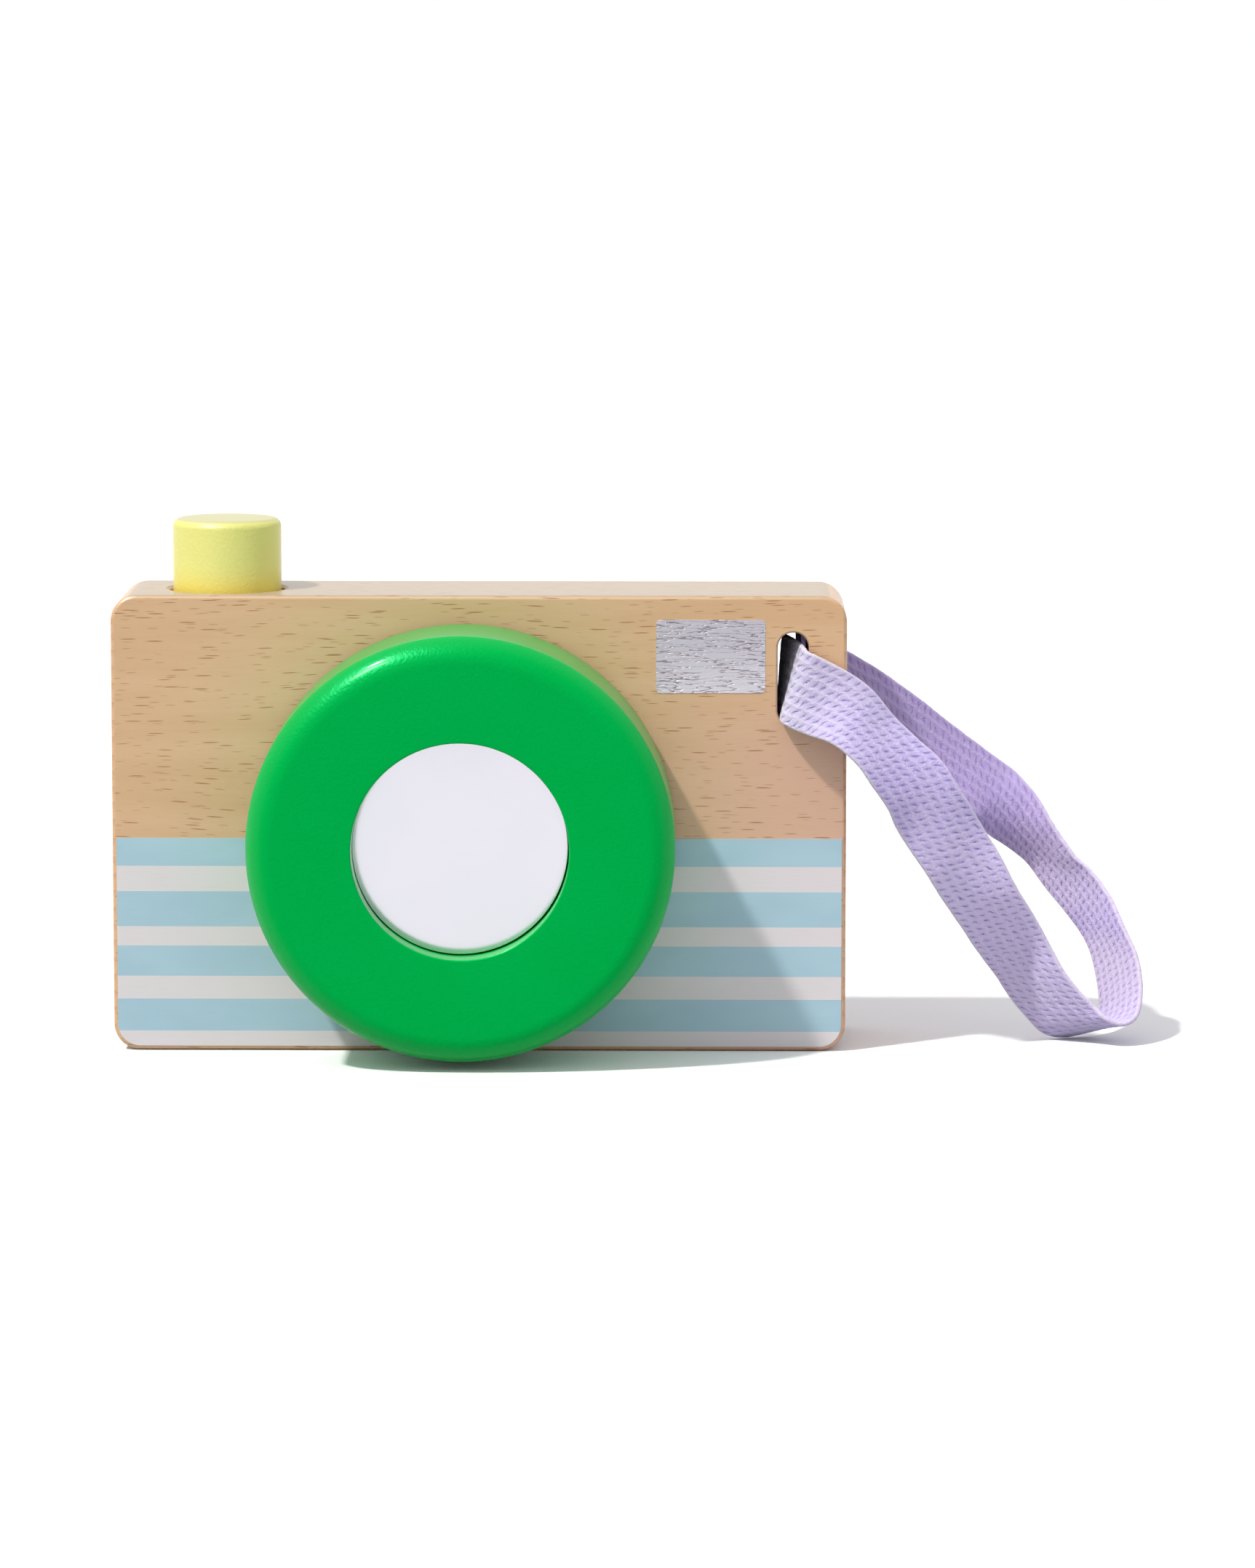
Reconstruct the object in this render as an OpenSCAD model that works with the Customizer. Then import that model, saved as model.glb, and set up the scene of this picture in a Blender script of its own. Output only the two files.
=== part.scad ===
// Wooden toy camera with a turning lens ring, a sprung shutter button and a tape wrist loop.
// Millimetres. The toy stands on the XY plane, its front faces -Y and +X is on the viewer's right.

/* [Body] */
// Width of the beech block
body_w = 120; // [100:1:160]
// Height of the beech block
body_h = 75; // [70:1:100]
// Thickness of the beech block
body_t = 25; // [23:1:40]
// Radius of the four corners seen from the front
corner_r = 4.3; // [2.5:0.1:8]
// Rounding of the edges around the front and back faces
edge_r = 0.7; // [0.4:0.1:2]

/* [Printed stripes] */
// Height of the print's upper edge above the base
print_top = 35.1; // [30:0.1:50]
// Heights of the blue bars, from the top down
blue_bars = [4.6, 5.8, 5, 5.3]; // [3:0.1:6]
// Heights of the white bars, from the top down
white_bars = [4.2, 3.2, 3.8, 2.6]; // [2:0.1:4.4]
// Thickness of the printed film and of the foil
film_t = 0.1; // [0.05:0.05:0.3]
// Bare margin of the print around the felt washer
print_margin = 1; // [0.5:0.5:4]

/* [Flash] */
// Width of the silver foil
foil_w = 17.8; // [8:0.1:19]
// Height of the silver foil
foil_h = 12; // [5:0.5:16]
// Corner radius of the foil
foil_corner = 0.8; // [0.3:0.1:2.5]
// Middle of the foil, in from the right side of the block
foil_in = 22.2; // [21:0.1:32]
// Middle of the foil, down from the top of the block
foil_down = 9.9; // [8:0.1:20]

/* [Lens] */
// Offset of the lens from the middle of the block
lens_x = -2.4; // [-8:0.1:6]
// Height of the lens axis above the base
lens_up = 36; // [35.5:0.5:46]
// Outer diameter of the ring
ring_d = 69; // [50:1:71]
// Length of the ring from back to front
ring_len = 21.8; // [18:0.1:36]
// Rounding of the ring's front outer edge
ring_round = 4.4; // [1:0.1:7]
// Rounding of the ring's back outer edge
ring_back_round = 0.8; // [0.3:0.1:2]
// Diameter of the bore in front of the lens disc
recess_d = 35; // [32:0.5:42]
// Depth of the disc's face behind the ring's front
recess_deep = 5; // [4.6:0.1:6]
// Rounding of the bore's front edge
rim_round = 0.6; // [0.3:0.1:1.2]
// Thickness of the lens disc
disc_t = 2; // [1:0.5:3]
// Gap around the lens disc
disc_gap = 0.3; // [0.1:0.1:0.6]
// Thickness of the disc's adhesive ring
pad_t = 0.5; // [0.3:0.1:1]
// Width of the disc's adhesive ring
pad_w = 2.2; // [1.2:0.1:2.6]

/* [Lens hub] */
// Diameter of the hub's shank
hub_d = 16; // [12:0.5:18]
// Diameter of the hub's head
hub_head_d = 24; // [21:0.5:25]
// Thickness of the hub's head
hub_head_t = 4.5; // [3:0.5:6]
// Depth of the shank in the block
hub_deep = 14; // [8:0.5:18]
// Radial play of the ring on the hub
run_play = 0.08; // [0.04:0.01:0.1]
// Radial room for glue around a pin or shank
glue_room = 0.05; // [0.02:0.01:0.1]
// Radial room around the hub's head
head_gap = 0.8; // [0.4:0.1:1]
// Axial room at each face of the hub's head
head_play = 0.4; // [0.3:0.1:0.8]
// Thickness of the felt washer
felt_t = 0.8; // [0.5:0.1:1.5]
// Outer diameter of the felt washer
felt_d = 44; // [30:1:50]
// Radial gap between the felt and the hub
felt_gap = 0.3; // [0.1:0.1:0.8]
// Axial play between the ring and the felt
felt_play = 0.1; // [0.05:0.05:0.3]

/* [Shutter button] */
// Diameter of the button
button_d = 17.8; // [12:0.1:18]
// Height of the button above the block at rest
button_up = 11.6; // [8:0.1:16]
// Length of the button inside the block
button_below = 24; // [23:0.5:27]
// Rounding of the button's top edge
button_round = 1.4; // [0.5:0.1:4]
// Middle of the button, in from the left side of the block
button_in = 18.3; // [16:0.1:22]
// Radial gap around the button
button_gap = 0.8; // [0.4:0.1:0.9]
// Eased edge at the mouth of the button's bore
bore_ease = 0.4; // [0.2:0.1:1]
// Travel of the button
button_stroke = 5; // [3:0.5:5]
// Diameter of the retaining pin
pin_d = 4; // [3:0.1:4.2]
// Depth of the pin's axis under the top of the block
pin_down = 12.5; // [11.5:0.5:13]
// Depth of the pin's end in the front wall
pin_bite = 1.4; // [0.8:0.1:1.8]
// Gap around the pin in the button's slot
pin_gap = 0.3; // [0.2:0.1:0.4]

/* [Button spring] */
// Outer diameter of the spring
spring_d = 9.6; // [7:0.1:10]
// Diameter of the spring wire
wire_d = 1; // [0.6:0.1:1.2]
// Length of the spring at rest
spring_len = 18; // [16:0.5:24]
// Number of curls
spring_curls = 6; // [4:1:7]
// Depth of the spring's pocket in the button
pocket_deep = 7; // [4:0.5:7.5]
// Radial gap around the spring in its pocket
pocket_gap = 0.6; // [0.3:0.1:1]
// Gap at each end of the spring
spring_gap = 0.1; // [0.05:0.05:0.3]

/* [Strap] */
// Width of the strap slot
slot_w = 5; // [5:0.1:7]
// Height of the strap slot
slot_h = 15.2; // [15.2:0.1:20]
// Middle of the slot, in from the right side of the block
slot_in = 8.8; // [7:0.1:10]
// Middle of the slot, down from the top of the block
slot_down = 13.6; // [11:0.1:24]
// Eased edge at both mouths of the slot
slot_ease = 0.3; // [0.2:0.1:1.4]
// Width of the woven tape
tape_w = 12.5; // [8:0.5:12.5]
// Thickness of the woven tape
tape_t = 0.9; // [0.6:0.1:1]

/* [Hidden] */
$fn = 64;
eps = 0.01;

// Faces of the block
front_y = -body_t / 2;
back_y = body_t / 2;

// Stations along the lens axis, measured forward from the block's front face
ring_back = felt_t + felt_play;
ring_front = ring_back + ring_len;
disc_face = ring_front - recess_deep;
disc_back = disc_face - disc_t;
seat = disc_back - pad_t;
head_room = hub_head_t + 2 * head_play;
web_front = seat - head_room;
head_back = web_front + head_play;
disc_r = recess_d / 2 - disc_gap;
head_room_r = hub_head_d / 2 + head_gap;

// Button and spring
button_x = -body_w / 2 + button_in;
button_foot = body_h - button_below;
bore_r = button_d / 2 + button_gap;
spring_top = button_foot + pocket_deep;
bore_floor = spring_top - spring_len;
pin_z = body_h - pin_down;
pin_front = -bore_r - pin_bite;
spring_r = (spring_d - wire_d) / 2;
wire_sides = 6;
rings_per_curl = 8;

// Strap slot and foil
slot_x = body_w / 2 - slot_in;
slot_z = body_h - slot_down;
foil_x = body_w / 2 - foil_in;
foil_z = body_h - foil_down;

// Middle line of the tape and the direction of its width at each point, from the sewn lap in the slot,
// out of the front, round the loop on the floor and in again from the back. The points are for a slot
// at route_x and route_z through a block of route_t.
route_x = 51.2;
route_z = 61.4;
route_t = 25;
strap_route = [
    [[50.1, 4, 61], [0.3, 0, 13]],
    [[50.6, -3, 61.2], [1.5, 0, 13]],
    [[51.1, -10, 61.2], [2.3, 0, 12.6]],
    [[51.2, -12.3, 61.1], [2.5, 0, 12.5]],
    [[51.5, -14, 60.5], [3.7, 0, 11.9]],
    [[53, -15, 59.7], [4.6, 1.2, 11.6]],
    [[56.5, -15.5, 58], [6, 3.5, 10.5]],
    [[61, -16.5, 55.5], [6.5, 7, 8]],
    [[64.5, -16.5, 52], [6.5, 8.5, 6.5]],
    [[67.5, -16.5, 48.5], [7.5, 7.5, 7]],
    [[71, -16, 44.5], [9, 5, 7.5]],
    [[73.5, -15, 40], [10, 3, 7]],
    [[78.5, -12.5, 32], [9.5, 3.5, 7.5]],
    [[83.5, -8.5, 24], [8.5, 4.5, 8]],
    [[88.5, -3, 15.5], [7.5, 5.5, 8]],
    [[91, -0.5, 11], [7.5, 5, 8.5]],
    [[94, 1.5, 7], [7.5, 5.5, 8.5]],
    [[97.5, 2, 4.5], [6.5, 8.5, 7]],
    [[101, 1, 2.5], [4.5, 11.5, 2]],
    [[104.5, 0.5, 3.5], [5, 11, -3]],
    [[106, 1, 7], [7, 9.5, -4.5]],
    [[106, 3.5, 12], [8.5, 8.5, -3]],
    [[104, 6.5, 16.5], [9.5, 8, -1]],
    [[101.5, 10, 21], [9.5, 8, 1]],
    [[98, 12.5, 25], [9, 8.5, 2.5]],
    [[94.5, 14.5, 28.5], [7.5, 9.5, 3]],
    [[91, 15.5, 32.5], [7, 10, 3.5]],
    [[87.5, 16.5, 36.5], [7.5, 8, 6]],
    [[84, 17, 39.5], [7, 6.5, 8]],
    [[75.5, 18, 45.5], [6.5, 5.5, 9]],
    [[67.5, 17, 51.5], [6, 4.5, 10]],
    [[59, 15, 57], [4.5, 2.5, 11]],
    [[54.5, 14.5, 59], [3.5, 0.5, 12]],
    [[52.5, 13, 60], [1.5, 0, 12.5]],
    [[52.3, 10, 60.8], [0.3, 0, 13]],
    [[52.3, -2, 61], [0, 0, 13]]
];
steps_per_point = 3;
// Width of the eased selvedge
selvedge = 0.3;

function unit(v) = v / norm(v);
function total(v, n, i = 0) = i >= n ? 0 : v[i] + total(v, n, i + 1);
function held(i) = max(0, min(len(strap_route) - 1, i));

// Smooth curve through four neighbouring points
function curve(a, b, c, d, t) =
    b + 0.5 * t * ((c - a) + t * ((2 * a - 5 * b + 4 * c - d) + t * (3 * b - a - 3 * c + d)));

function route_at(column, i, t) = curve(
    strap_route[held(i - 1)][column],
    strap_route[held(i)][column],
    strap_route[held(i + 1)][column],
    strap_route[held(i + 2)][column],
    t
);

// Moves a point of the route with the slot and keeps the loop's foot on the floor
function placed(p) = [p[0] - route_x + slot_x, p[1] * body_t / route_t, p[2] * slot_z / route_z];

ring_count = (len(strap_route) - 1) * steps_per_point + 1;
function strap_sample(column, k) =
    route_at(column, floor(k / steps_per_point), k % steps_per_point / steps_per_point);
strap_middle = [for (k = [0:ring_count - 1]) placed(strap_sample(0, k))];
strap_across = [for (k = [0:ring_count - 1]) unit(strap_sample(1, k))];

function strap_heading(k) = unit(strap_middle[min(ring_count - 1, k + 1)] - strap_middle[max(0, k - 1)]);

// Section of the tape, flat with eased selvedges
function tape_section(half_w, half_t) = [
    [-half_w, -half_t / 2],
    [-half_w + selvedge, -half_t],
    [half_w - selvedge, -half_t],
    [half_w, -half_t / 2],
    [half_w, half_t / 2],
    [half_w - selvedge, half_t],
    [-half_w + selvedge, half_t],
    [-half_w, half_t / 2]
];

function strap_ring(k) =
    let (
        heading = strap_heading(k),
        across = strap_across[k],
        normal = unit(cross(heading, across))
    )
    [for (p = tape_section(tape_w / 2, tape_t / 2)) strap_middle[k] + p[0] * across + p[1] * normal];

// Helix of the spring, from its lower end to its upper end
spring_rings = spring_curls * rings_per_curl;
spring_low = bore_floor + spring_gap + wire_d / 2;
spring_high = spring_top - spring_gap - wire_d / 2;
function spring_point(k) =
    let (turn = 360 * k / rings_per_curl)
    [
        spring_r * cos(turn),
        spring_r * sin(turn),
        spring_low + (spring_high - spring_low) * k / spring_rings
    ];
spring_path = [for (k = [0:spring_rings]) spring_point(k)];

function spring_ring(k) =
    let (
        heading = unit(spring_path[min(spring_rings, k + 1)] - spring_path[max(0, k - 1)]),
        outward = unit([spring_path[k][0], spring_path[k][1], 0]),
        side = unit(cross(heading, outward)),
        rise = cross(side, heading)
    )
    [
        for (s = [0:wire_sides - 1])
            let (angle = 360 * s / wire_sides)
            spring_path[k] + wire_d / 2 * (cos(angle) * rise + sin(angle) * side)
    ];

// Least gap of the spring to itself, measured between points more than half a curl apart
spring_least_gap = min([
    for (i = [0:spring_rings], j = [i + rings_per_curl / 2:spring_rings])
        norm(spring_path[i] - spring_path[j]) - wire_d
]);
echo(spring_least_gap = spring_least_gap);

// Closed tube through a list of rings that have equally many points
module skin(rings) {
    sides = len(rings[0]);
    last = len(rings) - 1;
    points = [for (ring = rings, p = ring) p];
    walls = [
        for (k = [0:last - 1], s = [0:sides - 1])
            let (
                a = k * sides + s,
                b = k * sides + (s + 1) % sides
            )
            each [[a, b, b + sides], [a, b + sides, a + sides]]
    ];
    start_cap = [for (s = [1:sides - 2]) [0, s + 1, s]];
    end_cap = [for (s = [1:sides - 2]) [last * sides, last * sides + s, last * sides + s + 1]];
    polyhedron(points, concat(walls, start_cap, end_cap), convexity = 8);
}

// Puts a shape that is drawn along +Z on the lens axis, pointing forward from the block
module on_lens_axis() {
    translate([lens_x, front_y, lens_up])
        rotate([90, 0, 0])
            children();
}

// Puts a flat shape, drawn in X and Z, on the block's front face
module on_front(thickness) {
    translate([0, front_y, 0])
        rotate([90, 0, 0])
            linear_extrude(thickness)
                children();
}

// Rectangle with round corners, centred
module round_rect(w, h, r) {
    square([w - 2 * r, h], center = true);
    square([w, h - 2 * r], center = true);
    for (x = [-1, 1], y = [-1, 1])
        translate([x * (w / 2 - r), y * (h / 2 - r)])
            circle(r);
}

// Half section of a turned corner of the block
module corner_section() {
    translate([0, -body_t / 2])
        square([corner_r - edge_r, body_t]);
    translate([0, -body_t / 2 + edge_r])
        square([corner_r, body_t - 2 * edge_r]);
    for (side = [-1, 1])
        translate([corner_r - edge_r, side * (body_t / 2 - edge_r)])
            circle(edge_r);
}

// Solid block with round corners and eased edges
module rounded_block() {
    for (x = [-1, 1], z = [corner_r, body_h - corner_r])
        translate([x * (body_w / 2 - corner_r), 0, z])
            rotate([90, 0, 0])
                rotate_extrude()
                    corner_section();
    translate([-body_w / 2 + corner_r, 0, body_h / 2])
        rotate([90, 0, 90])
            linear_extrude(body_w - 2 * corner_r)
                round_rect(body_t, body_h, edge_r);
    translate([0, 0, corner_r])
        linear_extrude(body_h - 2 * corner_r)
            round_rect(body_w, body_t, edge_r);
}

// Flat part of the front face
module front_face() {
    translate([0, body_h / 2])
        round_rect(body_w - 2 * edge_r, body_h - 2 * edge_r, corner_r - edge_r);
}

// Slot with round ends, and a mouth that opens out at one face
module slot_cut() {
    reach = slot_h / 2 - slot_w / 2;
    translate([slot_x, 0, slot_z])
        rotate([90, 0, 0]) {
            translate([-slot_w / 2, -reach, -body_t])
                cube([slot_w, 2 * reach, 2 * body_t]);
            for (y = [-reach, reach])
                translate([0, y, -body_t])
                    cylinder(d = slot_w, h = 2 * body_t);
        }
    for (side = [-1, 1])
        translate([slot_x, side * body_t / 2, slot_z])
            rotate([90, 0, 0])
                mirror([0, 0, side > 0 ? 0 : 1])
                    slot_mouth(reach);
}

module slot_mouth(reach) {
    for (y = [-reach, reach])
        translate([0, y, -eps])
            cylinder(r1 = slot_w / 2 + slot_ease + eps, r2 = slot_w / 2, h = slot_ease + eps);
    translate([0, reach, 0])
        rotate([90, 0, 0])
            linear_extrude(2 * reach)
                polygon([
                    [-slot_w / 2 - slot_ease - eps, -eps],
                    [slot_w / 2 + slot_ease + eps, -eps],
                    [slot_w / 2, slot_ease],
                    [-slot_w / 2, slot_ease]
                ]);
}

// Beech block with the slot, the button's bore, its pin hole and the hub's socket
module body_block() {
    color("burlywood")
        difference() {
            rounded_block();
            slot_cut();
            translate([button_x, 0, bore_floor])
                cylinder(r = bore_r, h = body_h);
            translate([button_x, 0, body_h - bore_ease])
                cylinder(r1 = bore_r, r2 = bore_r + bore_ease + eps, h = bore_ease + eps);
            translate([button_x, back_y + eps, pin_z])
                rotate([90, 0, 0])
                    cylinder(r = pin_d / 2 + glue_room, h = back_y - pin_front + glue_room + eps);
            on_lens_axis()
                translate([0, 0, -hub_deep - glue_room])
                    cylinder(r = hub_d / 2 + glue_room, h = hub_deep + glue_room + eps);
        }
}

// Height of the upper edge of a bar, counted from the top
function bar_top(blue, i) =
    print_top - total(blue_bars, i) - total(white_bars, i) - (blue ? 0 : blue_bars[i]);

// One colour of the printed bars, bare under the felt washer
module printed_bars(blue) {
    heights = blue ? blue_bars : white_bars;
    on_front(film_t)
        difference() {
            intersection() {
                front_face();
                for (i = [0:len(heights) - 1])
                    translate([-body_w / 2, bar_top(blue, i) - heights[i]])
                        square([body_w, heights[i]]);
            }
            translate([lens_x, lens_up])
                circle(r = felt_d / 2 + print_margin);
        }
}

module stripes_blue() {
    color("lightblue")
        printed_bars(true);
}

module stripes_white() {
    color("gainsboro")
        printed_bars(false);
}

module flash_foil() {
    color("silver")
        on_front(film_t)
            translate([foil_x, foil_z])
                round_rect(foil_w, foil_h, foil_corner);
}

// Half section of the turned ring, from its web to its rounded front
module ring_section() {
    outer = ring_d / 2;
    inner = recess_d / 2;
    difference() {
        union() {
            translate([0, ring_back + ring_back_round])
                square([outer, ring_len - ring_back_round]);
            translate([0, ring_back])
                square([outer - ring_back_round, ring_len]);
            translate([outer - ring_back_round, ring_back + ring_back_round])
                circle(ring_back_round);
        }
        translate([outer - ring_round, ring_front - ring_round])
            difference() {
                square(ring_round + eps);
                circle(ring_round);
            }
        translate([0, seat])
            square([inner, ring_len]);
        translate([inner, ring_front - rim_round])
            difference() {
                translate([-eps, 0])
                    square([rim_round + eps, rim_round + eps]);
                translate([rim_round, 0])
                    circle(rim_round);
            }
        translate([0, web_front])
            square([head_room_r, ring_len]);
        square([hub_d / 2 + run_play, ring_len]);
    }
}

// Turned and painted ring that spins on the hub
module lens_ring() {
    color("mediumseagreen")
        on_lens_axis()
            rotate_extrude($fn = 128)
                ring_section();
}

module lens_disc() {
    color("lavender")
        on_lens_axis()
            translate([0, 0, disc_back])
                cylinder(r = disc_r, h = disc_t);
}

// Adhesive ring that holds the disc on its seat
module disc_pad() {
    color("white")
        on_lens_axis()
            translate([0, 0, seat])
                difference() {
                    cylinder(r = head_room_r + pad_w, h = pad_t);
                    translate([0, 0, -eps])
                        cylinder(r = head_room_r, h = pad_t + 2 * eps);
                }
}

// Headed hub, glued into the block, that the ring turns on
module lens_hub() {
    color("tan")
        on_lens_axis() {
            translate([0, 0, -hub_deep])
                cylinder(d = hub_d, h = hub_deep + head_back + eps);
            translate([0, 0, head_back])
                cylinder(d = hub_head_d, h = hub_head_t);
        }
}

module felt_washer() {
    color("dimgray")
        on_lens_axis()
            difference() {
                cylinder(d = felt_d, h = felt_t);
                translate([0, 0, -eps])
                    cylinder(r = hub_d / 2 + felt_gap, h = felt_t + 2 * eps);
            }
}

// Turned button with a slot for its pin and a pocket for its spring
module shutter_button() {
    length = button_up + button_below;
    radius = button_d / 2;
    slot_r = pin_d / 2 + pin_gap;
    color("khaki")
        difference() {
            translate([button_x, 0, button_foot])
                rotate_extrude() {
                    square([radius, length - button_round]);
                    square([radius - button_round, length]);
                    translate([radius - button_round, length - button_round])
                        circle(button_round);
                }
            for (z = [pin_z, pin_z + button_stroke])
                translate([button_x, radius + eps, z])
                    rotate([90, 0, 0])
                        cylinder(r = slot_r, h = button_d + 2 * eps);
            translate([button_x - slot_r, -radius - eps, pin_z])
                cube([2 * slot_r, button_d + 2 * eps, button_stroke]);
            translate([button_x, 0, button_foot - eps])
                cylinder(r = spring_d / 2 + pocket_gap, h = pocket_deep + eps);
        }
}

module button_spring() {
    color("lightgray")
        translate([button_x, 0, 0])
            skin([for (k = [0:spring_rings]) spring_ring(k)]);
}

// Dowel pin that keeps the button in its bore
module button_pin() {
    color("wheat")
        translate([button_x, back_y, pin_z])
            rotate([90, 0, 0])
                cylinder(d = pin_d, h = back_y - pin_front);
}

// Woven tape, sewn into a loop inside the slot
module strap_tape() {
    color("thistle")
        skin([for (k = [0:ring_count - 1]) strap_ring(k)]);
}

body_block();
stripes_blue();
stripes_white();
flash_foil();
lens_ring();
lens_disc();
disc_pad();
lens_hub();
felt_washer();
shutter_button();
button_spring();
button_pin();
strap_tape();
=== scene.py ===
"""Looks of a wooden toy camera: its finishes, turned pieces, foil, woven wrist loop and studio."""

import logging
import math
from dataclasses import dataclass
from enum import Enum
from typing import Callable, Dict, List, Optional, Sequence, Tuple, Union

import bmesh
import bpy
from mathutils import Matrix, Vector, noise


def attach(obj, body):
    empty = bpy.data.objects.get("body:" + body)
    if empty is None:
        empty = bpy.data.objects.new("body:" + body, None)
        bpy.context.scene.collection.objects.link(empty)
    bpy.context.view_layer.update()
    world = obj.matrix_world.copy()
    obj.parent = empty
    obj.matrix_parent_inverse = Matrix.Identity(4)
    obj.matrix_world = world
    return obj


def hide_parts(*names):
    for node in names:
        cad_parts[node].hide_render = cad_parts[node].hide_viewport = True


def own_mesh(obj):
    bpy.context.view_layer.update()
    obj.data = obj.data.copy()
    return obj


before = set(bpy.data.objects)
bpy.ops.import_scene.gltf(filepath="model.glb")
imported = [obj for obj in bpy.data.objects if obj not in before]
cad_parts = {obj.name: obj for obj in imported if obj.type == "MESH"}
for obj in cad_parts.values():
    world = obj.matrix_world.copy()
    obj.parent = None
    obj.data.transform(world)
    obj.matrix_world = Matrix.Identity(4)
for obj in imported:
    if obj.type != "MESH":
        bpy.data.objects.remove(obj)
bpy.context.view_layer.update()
LOG = logging.getLogger("toy_camera")

MM = 0.001
TO_MM = (1000.0, 1000.0, 1000.0)
FIBRE_SCALE = (0.22, 5.0, 5.0)
SHARP_ANGLE = math.radians(35)
ROUNDING_STEPS = 10
WELD = 1e-7
Shape = bmesh.types.BMesh
Piece = bpy.types.Object
Number = Union[int, float]
Triple = Tuple[float, float, float]


def linear(share: float) -> float:
    """Undoes the display curve of one channel."""
    return share / 12.92 if share <= 0.04045 else ((share + 0.055) / 1.055) ** 2.4


def srgb(red: Number, green: Number, blue: Number) -> Triple:
    """Turns a colour of 0 to 255 a channel into the linear colour that shaders take."""
    return linear(red / 255.0), linear(green / 255.0), linear(blue / 255.0)


class Body(Enum):
    """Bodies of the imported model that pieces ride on."""

    CAMERA = "camera_body"
    LENS = "lens"
    BUTTON = "button"


class Sock:
    """Output of a shader node that takes part in Python expressions."""

    def __init__(self, graph: "Graph", socket: bpy.types.NodeSocket) -> None:
        """Keeps the socket and the graph that new nodes go to."""
        self.graph = graph
        self.socket = socket

    def __add__(self, other: "Feed") -> "Sock":
        """Adds."""
        return self.graph.math("ADD", self, other)

    def __radd__(self, other: "Feed") -> "Sock":
        """Adds to a number."""
        return self.graph.math("ADD", other, self)

    def __sub__(self, other: "Feed") -> "Sock":
        """Subtracts."""
        return self.graph.math("SUBTRACT", self, other)

    def __rsub__(self, other: "Feed") -> "Sock":
        """Subtracts from a number."""
        return self.graph.math("SUBTRACT", other, self)

    def __mul__(self, other: "Feed") -> "Sock":
        """Multiplies."""
        return self.graph.math("MULTIPLY", self, other)

    def __rmul__(self, other: "Feed") -> "Sock":
        """Multiplies a number."""
        return self.graph.math("MULTIPLY", other, self)

    def __truediv__(self, other: "Feed") -> "Sock":
        """Divides."""
        return self.graph.math("DIVIDE", self, other)

    def __pow__(self, other: "Feed") -> "Sock":
        """Raises to a power."""
        return self.graph.math("POWER", self, other)

    def __abs__(self) -> "Sock":
        """Drops the sign."""
        return self.graph.math("ABSOLUTE", self)

    def floor(self) -> "Sock":
        """Rounds down."""
        return self.graph.math("FLOOR", self)

    def fract(self) -> "Sock":
        """Keeps what is over a whole number."""
        return self.graph.math("FRACT", self)

    def exp(self) -> "Sock":
        """Takes the exponential."""
        return self.graph.math("EXPONENT", self)

    def step(self, low: float, high: float) -> "Sock":
        """Rises smoothly from 0 at low to 1 at high."""
        return self.graph.node(
            "ShaderNodeMapRange",
            {"interpolation_type": "SMOOTHSTEP"},
            {"Value": self, "From Min": low, "From Max": high},
        )

    def sibling(self, name: str) -> "Sock":
        """Gives another output of the same node."""
        return Sock(self.graph, self.socket.node.outputs[name])


Feed = Union[Sock, Number, Sequence[float]]
Rule = Callable[[Feed], Feed]


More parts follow.
